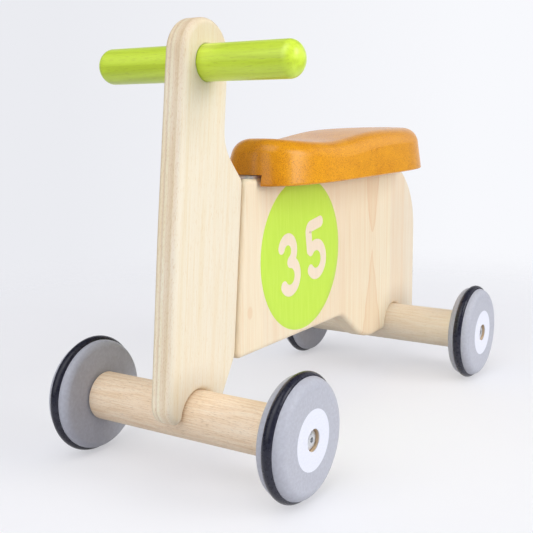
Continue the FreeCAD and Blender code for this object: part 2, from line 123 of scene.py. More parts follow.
FRONT_AXLE, REAR_AXLE = (middle(f"{axle.value}_axle_beam", 0) for axle in Axle)
PANEL_FACE = reach("body_panel", 1)[1]
BOARD_FACE = reach("steering_board", 1)[1]
BOARD_TOP = reach("steering_board", 2)[1]
SEAT_FRONT = reach("seat", 0)[1]
SEAT_UNDERSIDE = reach("seat", 2)[0]
STEERING_AXIS = next(joint["axis"] for joint in frame["joints"] if joint["name"] == "steering")


# Colour and node helpers


def colour(code: str) -> tuple[float, float, float, float]:
    """Turns an sRGB hex colour into the linear colour that a shader takes.

    It follows the standard sRGB curve: a short straight start, then a power of 2.4.

    Args:
        code: Colour such as "#F3E6CC".

    Returns:
        Red, green, blue and an alpha of one, linear.
    """
    parts = np.array([int(code[i:i + 2], 16) for i in (1, 3, 5)]) / 255
    line = np.where(parts <= 0.04045, parts / 12.92, ((parts + 0.055) / 1.055) ** 2.4)
    return (*(float(part) for part in line), 1.0)


def add_node(
    tree: Tree,
    kind: str,
    inputs: Inputs | None = None,
    stops: Stops = (),
    interpolation: str = "LINEAR",
    **settings: object,
) -> bpy.types.Node:
    """Adds a shader node, with its settings, its inputs and the stops of its ramp.

    Args:
        tree: Node tree that takes the node.
        kind: Blender's name of the node's type.
        inputs: Value or linked socket for each input, by name or number.
        stops: Place and hex colour of each stop, where the node is a ramp.
        interpolation: How a ramp passes from stop to stop.
        **settings: The node's own properties.

    Returns:
        The new node.
    """
    node = tree.nodes.new(kind)
    for key, value in settings.items():
        setattr(node, key, value)
    for key, value in (inputs or {}).items():
        if isinstance(value, Socket):
            tree.links.new(value, node.inputs[key])
        else:
            node.inputs[key].default_value = value
    if stops:
        node.color_ramp.interpolation = interpolation
    for index, (place, code) in enumerate(stops):
        known = index < len(node.color_ramp.elements)
        stop = node.color_ramp.elements[index] if known else node.color_ramp.elements.new(place)
        stop.position = place
        stop.color = colour(code)
    return node


def metres(sizes_mm: tuple[float, ...]) -> tuple[float, ...]:
    """Turns sizes in millimetres into metres."""
    return tuple(size * MM for size in sizes_mm)


def fibres(
    tree: Tree,
    place: Socket,
    size_mm: Triple,
    lean: float = 0.0,
    detail: float = 2.0,
    distortion: float = 0.0,
) -> Socket:
    """Noise drawn out into cells of a real size, as fibres and growth bands are.

    Args:
        tree: Node tree of the material.
        place: Coordinates in metres.
        size_mm: Size of one cell along X, Y and Z.
        lean: Angle by which the pattern leans about Y, in radians.
        detail: Number of finer layers of noise.
        distortion: How far the noise is bent by itself.

    Returns:
        A value round one half.
    """
    scaled = add_node(
        tree, "ShaderNodeMapping",
        {"Vector": place, "Rotation": (0.0, lean, 0.0), "Scale": metres(size_mm)}, vector_type="TEXTURE")
    noise = add_node(
        tree, "ShaderNodeTexNoise",
        {"Vector": scaled.outputs[0], "Scale": 1.0, "Detail": detail, "Distortion": distortion})
    return noise.outputs[0]


def spot(tree: Tree, place: Socket, centre_mm: Triple, half_mm: Triple) -> Socket:
    """Soft oval spot, such as a small knot: one at its centre, nothing at its rim.

    Args:
        tree: Node tree of the material.
        place: Coordinates in metres.
        centre_mm: Centre of the spot.
        half_mm: Half its size along X, Y and Z.

    Returns:
        A value from nothing to one.
    """
    near = add_node(
        tree, "ShaderNodeMapping",
        {"Vector": place, "Location": metres(centre_mm), "Scale": metres(half_mm)}, vector_type="TEXTURE")
    ball = add_node(tree, "ShaderNodeTexGradient", {"Vector": near.outputs[0]}, gradient_type="SPHERICAL")
    return ball.outputs[1]


def shade(tree: Tree, under: Socket, noise: Socket, stops: Stops, share: Socket | float = 1.0) -> Socket:
    """Multiplies a colour by near-white tones that follow a noise, as fibres and bands do to bare wood.

    Args:
        tree: Node tree of the material.
        under: Colour before.
        noise: Value that picks the tone.
        stops: Value and hex colour of each tone.
        share: How much of the tones is taken, from nothing to one.

    Returns:
        Colour after.
    """
    tones = add_node(tree, "ShaderNodeValToRGB", {0: noise}, stops=stops)
    return add_node(
        tree, "ShaderNodeMix", {0: share, 6: under, 7: tones.outputs[0]},
        data_type="RGBA", blend_type="MULTIPLY").outputs[2]


def tint(
    tree: Tree,
    under: Socket,
    guide: Socket,
    code: str,
    span: Pair = (0.0, 1.0),
    most: float = 1.0,
    blend: str = "MIX",
) -> Socket:
    """Lays one colour over another where a guide value is high, as pores, specks and a deeper dye lie.

    Its cover rises in a straight line from none at the span's first value to the most at its second.

    Args:
        tree: Node tree of the material.
        under: Colour before.
        guide: Value that the cover follows.
        code: Hex colour that is laid over.
        span: Guide values at which the cover starts and is full.
        most: Cover where it is full.
        blend: How the two colours meet.

    Returns:
        Colour after.
    """
    low, high = span
    cover = add_node(
        tree, "ShaderNodeMapRange", {"Value": guide, "From Min": low, "From Max": high, "To Max": most})
    return add_node(
        tree, "ShaderNodeMix", {0: cover.outputs[0], 6: under, 7: colour(code)},
        data_type="RGBA", blend_type=blend).outputs[2]


# Finishes


@dataclass(frozen=True)
class Finish(ABC):
    """One real finish, which paints itself from Object coordinates in metres."""

    name: str

    @abstractmethod
    def look(self, tree: Tree, place: Socket) -> Inputs:
        """Adds the finish's nodes.

        Args:
            tree: Node tree of the material.
            place: Object coordinates in metres.

        Returns:
            Value or socket for each input of the surface shader.
        """

    def material(self) -> bpy.types.Material:
        """Makes the finish's material, once.

        Returns:
            The material.
        """
        known = bpy.data.materials.get(self.name)
        if known is not None:
            return known
        made = bpy.data.materials.new(self.name)
        made.use_nodes = True
        tree = made.node_tree
        tree.nodes.clear()
        place = add_node(tree, "ShaderNodeTexCoord").outputs["Object"]
        shader = add_node(tree, "ShaderNodeBsdfPrincipled", self.look(tree, place))
        add_node(tree, "ShaderNodeOutputMaterial", {"Surface": shader.outputs[0]})
        return made


@dataclass(frozen=True)
class GluedPanelWood(Finish):
    """Edge-glued pale hardwood under clear satin lacquer.

    Planed strips glued side by side, then sanded and sprayed. The eye gets upright strips of slightly
    different cream, fine upright fibres, one hourglass figure where a ring was cut flat, and a pin knot.
    The fibres are drawn coarser than real ones, so that they show.
    """

    name: str = "glued_panel_wood_satin_lacquer"
    strip_edges_mm: tuple[float, ...] = (-207.0, -170.0, -138.0, -64.0, 14.0, 92.0)
    strip_codes: tuple[str, ...] = (
        "#EDE1CC", "#EEDFC7", "#F2E6CC", "#F1E2C6", "#F0DFC3", "#F0E1C7", "#F3E5CA")
    strip_shift: Triple = (9.0, 7.0, 8.0)
    panel_span_mm: Pair = (-240.0, 160.0)
    fibre_mm: Triple = (0.9, 0.9, 42.0)
    fibre_stops: Stops = ((0.3, "#FAF5EE"), (0.52, "#FFFFFF"), (0.75, "#FDFAF5"))
    band_mm: Triple = (7.0, 7.0, 260.0)
    band_stops: Stops = ((0.36, "#FDF9F5"), (0.5, "#FFFFFF"), (0.66, "#FCF6F0"))
    figure_x_mm: float = -124.0
    figure_tips_mm: Pair = (145.0, 160.0)
    figure_reach_mm: Pair = (95.0, 57.0)
    figure_half_mm: Pair = (23.0, 15.5)
    figure_rim_mm: float = 1.0
    figure_inside_mm: Pair = (0.8, 5.0)
    figure_shares: Pair = (0.85, 0.4)
    figure_drift_mm: float = 8.0
    figure_drift_cell_mm: Triple = (400.0, 400.0, 30.0)
    figure_code: str = "#F6E6D8"
    knot_mm: Triple = (113.0, PANEL_FACE, 119.0)
    knot_half_mm: Triple = (4.5, 8.0, 6.5)
    knot_code: str = "#E6C39B"
    knot_span: Pair = (0.0, 0.3)
    knot_cover: float = 0.45
    roughness: float = 0.48

    def strips(self, tree: Tree, place: Socket) -> Socket:
        """Colours each glued strip.

        Args:
            tree: Node tree of the material.
            place: Object coordinates in metres.

        Returns:
            Colour, constant across each strip.
        """
        low, high = self.panel_span_mm
        x = add_node(tree, "ShaderNodeSeparateXYZ", {0: place}).outputs[0]
        share = add_node(
            tree, "ShaderNodeMapRange", {"Value": x, "From Min": low * MM, "From Max": high * MM})
        places = (0.0, *((edge - low) / (high - low) for edge in self.strip_edges_mm))
        ramp = add_node(
            tree, "ShaderNodeValToRGB", {0: share.outputs[0]},
            stops=tuple(zip(places, self.strip_codes)), interpolation="CONSTANT")
        return ramp.outputs[0]

    def figure(self, tree: Tree, place: Socket) -> Socket:
        """Hourglass where a growth ring was cut flat.

        Its half width grows from each tip: as the distance below the lower tip, and as the square root of
        the distance above the upper one. It is densest just inside that width and paler further in, and
        slow noise, whose mean is one half, makes it drift from side to side.

        Args:
            tree: Node tree of the material.
            place: Object coordinates in metres.

        Returns:
            A value from nothing to one.
        """
        parts = add_node(tree, "ShaderNodeSeparateXYZ", {0: place})
        wander = fibres(tree, place, self.figure_drift_cell_mm)
        drift_mm = self.figure_drift_mm
        low_tip, high_tip = self.figure_tips_mm
        low_reach, high_reach = self.figure_reach_mm
        low_half, high_half = self.figure_half_mm
        below = add_node(
            tree, "ShaderNodeMapRange",
            {"Value": parts.outputs[2], "From Min": low_tip * MM, "From Max": (low_tip - low_reach) * MM,
             "To Max": low_half * MM})
        above = add_node(
            tree, "ShaderNodeMapRange",
            {"Value": parts.outputs[2], "From Min": high_tip * MM,
             "From Max": (high_tip + high_reach) * MM})
        root = add_node(tree, "ShaderNodeMath", {0: above.outputs[0], 1: 0.5}, operation="POWER")
        half = add_node(
            tree, "ShaderNodeMath", {0: root.outputs[0], 1: high_half * MM, 2: below.outputs[0]},
            operation="MULTIPLY_ADD")
        drift = add_node(
            tree, "ShaderNodeMath", {0: wander, 1: drift_mm * MM, 2: parts.outputs[0]},
            operation="MULTIPLY_ADD")
        aside = add_node(
            tree, "ShaderNodeMath", {0: drift.outputs[0], 1: (self.figure_x_mm + drift_mm / 2) * MM},
            operation="SUBTRACT")
        away = add_node(tree, "ShaderNodeMath", {0: aside.outputs[0]}, operation="ABSOLUTE")
        depth = add_node(
            tree, "ShaderNodeMath", {0: half.outputs[0], 1: away.outputs[0]}, operation="SUBTRACT")
        mask = add_node(
            tree, "ShaderNodeMapRange",
            {"Value": depth.outputs[0], "From Min": 0.0, "From Max": self.figure_rim_mm * MM},
            interpolation_type="SMOOTHSTEP")
        start, end = metres(self.figure_inside_mm)
        dense, pale = self.figure_shares
        inner = add_node(
            tree, "ShaderNodeMapRange",
            {"Value": depth.outputs[0], "From Min": start, "From Max": end,
             "To Min": dense, "To Max": pale})
        figure = add_node(
            tree, "ShaderNodeMath", {0: mask.outputs[0], 1: inner.outputs[0]}, operation="MULTIPLY")
        return figure.outputs[0]

    def look(self, tree: Tree, place: Socket) -> Inputs:
        """Lays bands, fibres, the hourglass and the knot over the strips.

        Each strip's own colour moves its noise, so no fibre runs on into the next strip.

        Args:
            tree: Node tree of the material.
            place: Object coordinates in metres.

        Returns:
            Value or socket for each input of the surface shader.
        """
        strips = self.strips(tree, place)
        moved = add_node(
            tree, "ShaderNodeVectorMath", {0: strips, 1: self.strip_shift, 2: place},
            operation="MULTIPLY_ADD")
        fibre = fibres(tree, moved.outputs[0], self.fibre_mm, detail=3.0)
        band = fibres(tree, moved.outputs[0], self.band_mm, detail=1.0, distortion=0.4)
        banded = shade(tree, strips, band, self.band_stops)
        lined = shade(tree, banded, fibre, self.fibre_stops)
        figure = self.figure(tree, place)
        figured = tint(tree, lined, figure, self.figure_code, blend="MULTIPLY")
        knot = spot(tree, place, self.knot_mm, self.knot_half_mm)
        knotted = tint(tree, figured, knot, self.knot_code, self.knot_span, self.knot_cover)
        bump = add_node(tree, "ShaderNodeBump", {"Height": fibre, "Strength": 0.12, "Distance": 0.15 * MM})
        return {"Base Color": knotted, "Roughness": self.roughness, "Normal": bump.outputs[0]}


@dataclass(frozen=True)
class LacqueredPlywood(Finish):
    """Nine-ply board with a pale face veneer under clear satin lacquer.

    Sawn, rounded over and sanded. The faces show a near-white cream veneer with fine lines along the
    board; the rounded edges cut through the plies, so they carry cream and pinkish brown lines in turn.
    The fibres are drawn coarser than real ones, so that they show.
    """

    name: str = "face_veneered_plywood_satin_lacquer"
    lean: float = math.atan2(STEERING_AXIS[0], STEERING_AXIS[2])
    half_thickness_mm: float = BOARD_FACE
    ply_codes: Stops = (
        (-9.4, "#F1E7D2"), (-8.8, "#E4D7BE"), (-7.2, "#F0E0C4"), (-6.4, "#FFF5DB"), (-4.7, "#FFF2D9"),
        (-4.0, "#F1E1C7"), (-2.9, "#F2E3CA"), (-2.2, "#FFF7E0"), (-0.4, "#FFF5DE"), (0.4, "#F7E7CF"),
        (1.3, "#FCEED6"), (2.3, "#F6E5CB"), (4.9, "#F2E0C2"), (5.8, "#FEF0D9"), (7.9, "#F2E6D2"),
        (8.8, "#F1E7D2"))
    ripple_mm: float = 1.2
    ripple_cell_mm: Triple = (7.0, 30.0, 7.0)
    fibre_mm: Triple = (0.8, 0.8, 34.0)
    fibre_stops: Stops = ((0.3, "#FBF6ED"), (0.52, "#FFFFFF"), (0.78, "#FDFBF6"))
    band_mm: Triple = (6.0, 60.0, 240.0)
    band_stops: Stops = ((0.38, "#FDF9F2"), (0.52, "#FFFFFF"), (0.68, "#FCF8EF"))
    dash_mm: Triple = (0.45, 0.45, 5.0)
    dash_stops: Stops = ((0.64, "#FFFFFF"), (0.78, "#F2E4CE"))
    grit_mm: Triple = (0.7, 0.7, 2.2)
    grit_stops: Stops = ((0.34, "#F5EEE6"), (0.46, "#FFFFFF"))
    edge_span_mm: Pair = (9.8, 8.6)
    # Painted shade: the board is darkened over its top, above the handlebar, where less light falls
    crown_shade_span_mm: Pair = (BOARD_TOP - 61.0, BOARD_TOP - 11.0)
    crown_shade_code: str = "#F4EFE7"
    knot_mm: Triple = (189.2, BOARD_FACE, BOARD_TOP - 11.5)
    knot_half_mm: Triple = (1.8, 3.0, 2.6)
    knot_code: str = "#A98A6A"
    roughness: float = 0.46

    def plies(self, tree: Tree, place: Socket) -> Socket:
        """Colours the plies by their place across the board's thickness.

        Each ply code goes with a distance from the board's middle in millimetres. Noise, whose mean is
        one half, ripples the plies.

        Args:
            tree: Node tree of the material.
            place: Object coordinates in metres.

        Returns:
            Colour of the ply at each point.
        """
        y = add_node(tree, "ShaderNodeSeparateXYZ", {0: place}).outputs[1]
        ripple = fibres(tree, place, self.ripple_cell_mm, detail=2.0)
        rippled = add_node(
            tree, "ShaderNodeMath", {0: ripple, 1: self.ripple_mm * MM, 2: y}, operation="MULTIPLY_ADD")
        half = self.half_thickness_mm
        mean = self.ripple_mm / 2
        share = add_node(
            tree, "ShaderNodeMapRange",
            {"Value": rippled.outputs[0], "From Min": (mean - half) * MM, "From Max": (mean + half) * MM})
        stops = tuple(((half + y_mm) / (2 * half), code) for y_mm, code in self.ply_codes)
        return add_node(tree, "ShaderNodeValToRGB", {0: share.outputs[0]}, stops=stops).outputs[0]

    def look(self, tree: Tree, place: Socket) -> Inputs:
        """Lays bands, fibres, dashes, end-grain grit, painted shade over the crown and a pin knot over the
        plies.

        The grit shows on the board's edges and not on its faces: it starts and is full at the edge
        span's two distances from the middle.

        Args:
            tree: Node tree of the material.
            place: Object coordinates in metres.

        Returns:
            Value or socket for each input of the surface shader.
        """
        fibre = fibres(tree, place, self.fibre_mm, self.lean, detail=3.0)
        band = fibres(tree, place, self.band_mm, self.lean, detail=1.0, distortion=0.3)
        dash = fibres(tree, place, self.dash_mm, self.lean, detail=1.0)
        grit = fibres(tree, place, self.grit_mm, self.lean, detail=2.0)
        parts = add_node(tree, "ShaderNodeSeparateXYZ", {0: place})
        off_middle = add_node(tree, "ShaderNodeMath", {0: parts.outputs[1]}, operation="ABSOLUTE")
        start, full = metres(self.edge_span_mm)
        on_edge = add_node(
            tree, "ShaderNodeMapRange",
            {"Value": off_middle.outputs[0], "From Min": start, "From Max": full})
        cover = shade(tree, self.plies(tree, place), band, self.band_stops)
        cover = shade(tree, cover, fibre, self.fibre_stops)
        cover = shade(tree, cover, dash, self.dash_stops)
        cover = shade(tree, cover, grit, self.grit_stops, on_edge.outputs[0])
        # Painted shade: multiplies the colour darker towards the top of the board
        crown = metres(self.crown_shade_span_mm)
        shaded_colour = tint(tree, cover, parts.outputs[2], self.crown_shade_code, crown, blend="MULTIPLY")
        knot = spot(tree, place, self.knot_mm, self.knot_half_mm)
        knotted = tint(tree, shaded_colour, knot, self.knot_code)
        bump = add_node(tree, "ShaderNodeBump", {"Height": fibre, "Strength": 0.12, "Distance": 0.15 * MM})
        return {"Base Color": knotted, "Roughness": self.roughness, "Normal": bump.outputs[0]}


@dataclass(frozen=True)
class OiledDowel(Finish):
    """Turned hardwood dowel, oiled.

    The grain runs along Y. Rings cut by the round surface make long arches, and open pores make short
    darker dashes and greyish flecks. Towards the rear the wood is painted paler: painted light that makes
    up for the shade that the panel and rear wheels cast on the rear dowel.
    """

    name: str = "turned_hardwood_dowel_oiled"
    wood_stops: Stops = ((0.38, "#ECCFAB"), (0.6, "#F8E1C4"), (0.85, "#FBEAD1"))
    pith_mm: Pair = (16.1, 24.0)
    ring_mm: float = 3.4
    ring_share: float = 0.13
    bend_mm: float = 14.0
    bend_cell_mm: Triple = (60.0, 90.0, 60.0)
    fibre_mm: Triple = (0.8, 26.0, 0.8)
    pore_mm: Triple = (0.42, 5.0, 0.42)
    pore_code: str = "#C9A881"
    pore_span: Pair = (0.6, 0.71)
    pore_cover: float = 0.6
    fleck_mm: Triple = (0.9, 2.4, 0.9)
    fleck_code: str = "#BFAE9E"
    fleck_span: Pair = (0.6, 0.72)
    fleck_cover: float = 0.3
    # Painted light: the dowel is lightened behind the middle of the bike, where it lies in shade
    rear_light_span_mm: Pair = (20.0, -20.0)
    rear_light_code: str = "#FFEFCF"
    rear_light_cover: float = 0.45
    roughness: float = 0.55

    def rings(self, tree: Tree, place: Socket) -> Socket:
        """Growth rings about a pith line along Y that lies between the axles, outside both dowels.

        The value is the sine of the distance from that line, in rings, after slow noise has bent it.

        Args:
            tree: Node tree of the material.
            place: Object coordinates in metres.

        Returns:
            A value from nothing to one.
        """
        bend = add_node(
            tree, "ShaderNodeMapping", {"Vector": place, "Scale": metres(self.bend_cell_mm)},
            vector_type="TEXTURE")
        slow = add_node(
            tree, "ShaderNodeTexNoise", {"Vector": bend.outputs[0], "Scale": 1.0, "Detail": 2.0})
        bent = add_node(
            tree, "ShaderNodeVectorMath",
            {0: slow.outputs[1], 1: metres((self.bend_mm, 0.0, self.bend_mm)), 2: place},
            operation="MULTIPLY_ADD")
        pith_x, pith_z = self.pith_mm
        about = add_node(
            tree, "ShaderNodeMapping",
            {"Vector": bent.outputs[0], "Location": metres((pith_x, 0.0, pith_z)),
             "Rotation": (math.pi / 2, 0.0, 0.0), "Scale": metres((self.ring_mm,) * 3)},
            vector_type="TEXTURE")
        wave = add_node(
            tree, "ShaderNodeTexWave",
            {"Vector": about.outputs[0], "Scale": ONE_RING, "Distortion": 0.6, "Detail": 1.0},
            wave_type="RINGS", rings_direction="Z")
        return wave.outputs[1]

    def look(self, tree: Tree, place: Socket) -> Inputs:
        """Sets rings and fibres between deep and pale, then adds pores, flecks and painted light that
        makes the rear paler.

        Args:
            tree: Node tree of the material.
            place: Object coordinates in metres.

        Returns:
            Value or socket for each input of the surface shader.
        """
        fibre = fibres(tree, place, self.fibre_mm, detail=3.0)
        pore = fibres(tree, place, self.pore_mm, detail=1.0)
        fleck = fibres(tree, place, self.fleck_mm, detail=2.0)
        both = add_node(
            tree, "ShaderNodeMath", {0: self.rings(tree, place), 1: self.ring_share, 2: fibre},
            operation="MULTIPLY_ADD")
        wood = add_node(tree, "ShaderNodeValToRGB", {0: both.outputs[0]}, stops=self.wood_stops)
        pored = tint(tree, wood.outputs[0], pore, self.pore_code, self.pore_span, self.pore_cover)
        flecked = tint(tree, pored, fleck, self.fleck_code, self.fleck_span, self.fleck_cover)
        # Painted light: screens the colour paler towards the rear
        x = add_node(tree, "ShaderNodeSeparateXYZ", {0: place}).outputs[0]
        rear = metres(self.rear_light_span_mm)
        rear_lit_colour = tint(tree, flecked, x, self.rear_light_code, rear, self.rear_light_cover, "SCREEN")
        bump = add_node(tree, "ShaderNodeBump", {"Height": pore, "Strength": 0.2, "Distance": 0.15 * MM})
        return {"Base Color": rear_lit_colour, "Roughness": self.roughness, "Normal": bump.outputs[0]}


@dataclass(frozen=True)
class GreenStainedBar(Finish):
    """Turned hardwood bar, dyed lime green under satin lacquer.

    The dye soaks further into open grain, so thin olive lines and dashes run along the bar, and end as
    dots on its round ends.
    """

    name: str = "lime_stained_hardwood_satin_lacquer"
    dye_stops: Stops = ((0.35, "#CAE337"), (0.5, "#D4EF3C"), (0.68, "#DBF548"))
    band_mm: Triple = (5.0, 110.0, 5.0)
    line_mm: Triple = (0.6, 14.0, 0.6)
    line_code: str = "#93932F"
    line_span: Pair = (0.6, 0.76)
    line_cover: float = 0.25
    dash_mm: Triple = (0.45, 8.0, 0.45)
    dash_code: str = "#86902A"
    dash_span: Pair = (0.6, 0.74)
    dash_cover: float = 0.3
    roughness: float = 0.36

    def look(self, tree: Tree, place: Socket) -> Inputs:
        """Lays fine olive lines, and short dashes where pores are open, over long cloudy bands.

        Args:
            tree: Node tree of the material.
            place: Object coordinates in metres.

        Returns:
            Value or socket for each input of the surface shader.
        """
        band = fibres(tree, place, self.band_mm, detail=2.0, distortion=0.5)
        line = fibres(tree, place, self.line_mm, detail=2.0)
        dash = fibres(tree, place, self.dash_mm, detail=1.0)
        dye = add_node(tree, "ShaderNodeValToRGB", {0: band}, stops=self.dye_stops)
        lined = tint(tree, dye.outputs[0], line, self.line_code, self.line_span, self.line_cover)
        dashed = tint(tree, lined, dash, self.dash_code, self.dash_span, self.dash_cover)
        bump = add_node(tree, "ShaderNodeBump", {"Height": line, "Strength": 0.15, "Distance": 0.15 * MM})
        return {
            "Base Color": dashed, "Roughness": self.roughness, "Normal": bump.outputs[0],
            "Coat Weight": 0.6, "Coat Roughness": 0.32}


@dataclass(frozen=True)
class PressedSeatWood(Finish):
    """Pressed and glued sawdust, moulded, dyed ochre orange and sprayed with satin lacquer.

    It has no grain. Grains of sawdust half a millimetre to two across take the dye unevenly, so the ochre
    is peppered with darker and lighter specks, and the lacquer gives a broad pale sheen at low angles.
    """

    name: str = "pressed_sawdust_ochre_stain_satin_lacquer"
    dye_stops: Stops = ((0.5, "#C67B08"), (0.62, "#E39A0D"), (0.74, "#E39A0D"), (0.86, "#F0A814"))
    cloud_mm: Triple = (16.0, 16.0, 16.0)
    cloud_share: float = 0.35
    grain_mm: Triple = (1.0, 1.0, 1.0)
    speck_mm: Triple = (0.7, 0.7, 0.7)
    speck_code: str = "#A05A0C"
    speck_span: Pair = (0.57, 0.7)
    speck_cover: float = 0.65
    # Painted shade: the seat is darkened towards its front, where the nose sits just behind the steering
    # board
    nose_shade_span_mm: Pair = (SEAT_FRONT - 17.6, SEAT_FRONT + 16.4)
    nose_shade_code: str = "#D8B28E"
    roughness: float = 0.27

    def look(self, tree: Tree, place: Socket) -> Inputs:
        """Sets clouds and grains between the dye's tones, then adds dark specks and painted shade on the
        nose.

        Args:
            tree: Node tree of the material.
            place: Object coordinates in metres.

        Returns:
            Value or socket for each input of the surface shader.
        """
        cloud = fibres(tree, place, self.cloud_mm, detail=2.0)
        grain = fibres(tree, place, self.grain_mm, detail=3.0)
        speck = fibres(tree, place, self.speck_mm, detail=1.0)
        mixed = add_node(
            tree, "ShaderNodeMath", {0: cloud, 1: self.cloud_share, 2: grain}, operation="MULTIPLY_ADD")
        dye = add_node(tree, "ShaderNodeValToRGB", {0: mixed.outputs[0]}, stops=self.dye_stops)
        specked = tint(tree, dye.outputs[0], speck, self.speck_code, self.speck_span, self.speck_cover)
        x = add_node(tree, "ShaderNodeSeparateXYZ", {0: place}).outputs[0]
        # Painted shade: multiplies the colour darker towards the nose, which the steering board shades
        nose = metres(self.nose_shade_span_mm)
        shaded_colour = tint(tree, specked, x, self.nose_shade_code, nose, blend="MULTIPLY")
        bump = add_node(tree, "ShaderNodeBump", {"Height": grain, "Strength": 0.15, "Distance": 0.2 * MM})
        return {
            "Base Color": shaded_colour, "Roughness": self.roughness, "Normal": bump.outputs[0],
            "Specular IOR Level": 0.3, "Coat Weight": 0.3, "Coat Roughness": 0.3}


@dataclass(frozen=True)
class GreyPaintedWood(Finish):
    """Turned hardwood disc, sprayed with cool grey satin paint; the drilled well is left bare.

    The paint follows the wood's pores faintly. Inside the bolt well the eye gets tan raw wood.
    """

    name: str = "cool_grey_satin_paint_on_wood"
    paint_stops: Stops = ((0.36, "#AFB0BA"), (0.52, "#B3B5BF"), (0.7, "#B9BBC5"))
    mottle_mm: Triple = (2.4, 2.4, 2.4)
    pore_mm: Triple = (0.6, 0.6, 8.0)
    axle_middle_mm: float = (FRONT_AXLE + REAR_AXLE) / 2
    half_wheelbase_mm: float = (FRONT_AXLE - REAR_AXLE) / 2
    axle_height_mm: float = middle("front_axle_beam", 2)
    well_radius_mm: float = 8.9
    well_code: str = "#E2C7A4"
    roughness: float = 0.42

    def from_axle(self, tree: Tree, place: Socket) -> Socket:
        """Distance from the nearer axle, with both axles folded onto one by the size of X.

        Args:
            tree: Node tree of the material.
            place: Object coordinates in metres.

        Returns:
            Distance in metres.
        """
        parts = add_node(tree, "ShaderNodeSeparateXYZ", {0: place})
        middle = add_node(
            tree, "ShaderNodeMath", {0: parts.outputs[0], 1: self.axle_middle_mm * MM},
            operation="SUBTRACT")
        folded = add_node(tree, "ShaderNodeMath", {0: middle.outputs[0]}, operation="ABSOLUTE")
        ahead = add_node(
            tree, "ShaderNodeMath", {0: folded.outputs[0], 1: self.half_wheelbase_mm * MM},
            operation="SUBTRACT")
        above = add_node(
            tree, "ShaderNodeMath", {0: parts.outputs[2], 1: self.axle_height_mm * MM},
            operation="SUBTRACT")
        flat = add_node(tree, "ShaderNodeCombineXYZ", {0: ahead.outputs[0], 2: above.outputs[0]})
        return add_node(
            tree, "ShaderNodeVectorMath", {0: flat.outputs[0]}, operation="LENGTH").outputs["Value"]

    def look(self, tree: Tree, place: Socket) -> Inputs:
        """Gives the paint a faint mottle, and leaves raw wood in the well.

        Args:
            tree: Node tree of the material.
            place: Object coordinates in metres.

        Returns:
            Value or socket for each input of the surface shader.
        """
        mottle = fibres(tree, place, self.mottle_mm, detail=4.0)
        pore = fibres(tree, place, self.pore_mm, detail=1.0)
        paint = add_node(tree, "ShaderNodeValToRGB", {0: mottle}, stops=self.paint_stops)
        inside = add_node(
            tree, "ShaderNodeMath", {0: self.from_axle(tree, place), 1: self.well_radius_mm * MM},
            operation="LESS_THAN")
        whole = add_node(
            tree, "ShaderNodeMix", {0: inside.outputs[0], 6: paint.outputs[0], 7: colour(self.well_code)},
            data_type="RGBA")
        bump = add_node(tree, "ShaderNodeBump", {"Height": pore, "Strength": 0.1, "Distance": 0.12 * MM})
        return {
            "Base Color": whole.outputs[2], "Roughness": self.roughness, "Normal": bump.outputs[0],
            "Specular IOR Level": 0.35}


@dataclass(frozen=True)
class MottledFinish(Finish):
    """Even finish whose tone, and where it has two roughnesses its gloss too, varies from place to place.

    The constants are the values of the shader's other inputs, by name.
    """

    tone_stops: Stops
    cell_mm: Triple
    detail: float
    roughness: Pair
    constants: Constants = ()

    def look(self, tree: Tree, place: Socket) -> Inputs:
        """Sets one noise between the tones, and between the two roughnesses.

        Args:
            tree: Node tree of the material.
            place: Object coordinates in metres.

        Returns:
            Value or socket for each input of the surface shader.
        """
        noise = fibres(tree, place, self.cell_mm, detail=self.detail)
        tone = add_node(tree, "ShaderNodeValToRGB", {0: noise}, stops=self.tone_stops)
        rough, dull = self.roughness
        if dull > rough:
            rough = add_node(
                tree, "ShaderNodeMapRange", {"Value": noise, "To Min": rough, "To Max": dull}).outputs[0]
        return {"Base Color": tone.outputs[0], "Roughness": rough, **dict(self.constants)}


@dataclass(frozen=True)
class PrintedField(MottledFinish):
    """Screen-printed lime field on lacquered wood: an even satin film with a faint upright mottle."""

    name: str = "screen_printed_lime_ink"
    tone_stops: Stops = ((0.35, "#C4E64E"), (0.55, "#C7E852"), (0.75, "#CAE958"))
    cell_mm: Triple = (2.0, 2.0, 26.0)
    detail: float = 2.0
    roughness: Pair = (0.42, 0.42)
    constants: Constants = (("Specular IOR Level", 0.3),)


@dataclass(frozen=True)
class BareDigitWood(MottledFinish):
    """Pale wood left bare of ink, where the panel's cream and fine fibres show as plain digits."""

    name: str = "bare_digit_wood_satin_lacquer"
    tone_stops: Stops = ((0.35, "#EEDCC4"), (0.6, "#F3E2CB"))
    cell_mm: Triple = (0.9, 0.9, 42.0)
    detail: float = 3.0
    roughness: Pair = (0.48, 0.48)


@dataclass(frozen=True)
class TyreRubber(MottledFinish):
    """Moulded black rubber ring, smooth and slightly dusty, with a soft wide highlight."""

    name: str = "moulded_black_rubber"
    tone_stops: Stops = ((0.4, "#1F202E"), (0.7, "#292A38"))
    cell_mm: Triple = (4.0, 4.0, 4.0)
    detail: float = 3.0
    roughness: Pair = (0.21, 0.35)
    constants: Constants = (("IOR", 1.52), ("Specular IOR Level", 0.35))


@dataclass(frozen=True)
class WhiteCard(MottledFinish):
    """White coated fibre disc, matt, let into the wheel's face: cool white with a barely seen fleck."""

    name: str = "white_coated_fibre_disc"
    tone_stops: Stops = ((0.4, "#DFE1EC"), (0.6, "#E4E6F1"))
    cell_mm: Triple = (1.5, 1.5, 1.5)
    detail: float = 2.0
    roughness: Pair = (0.55, 0.55)


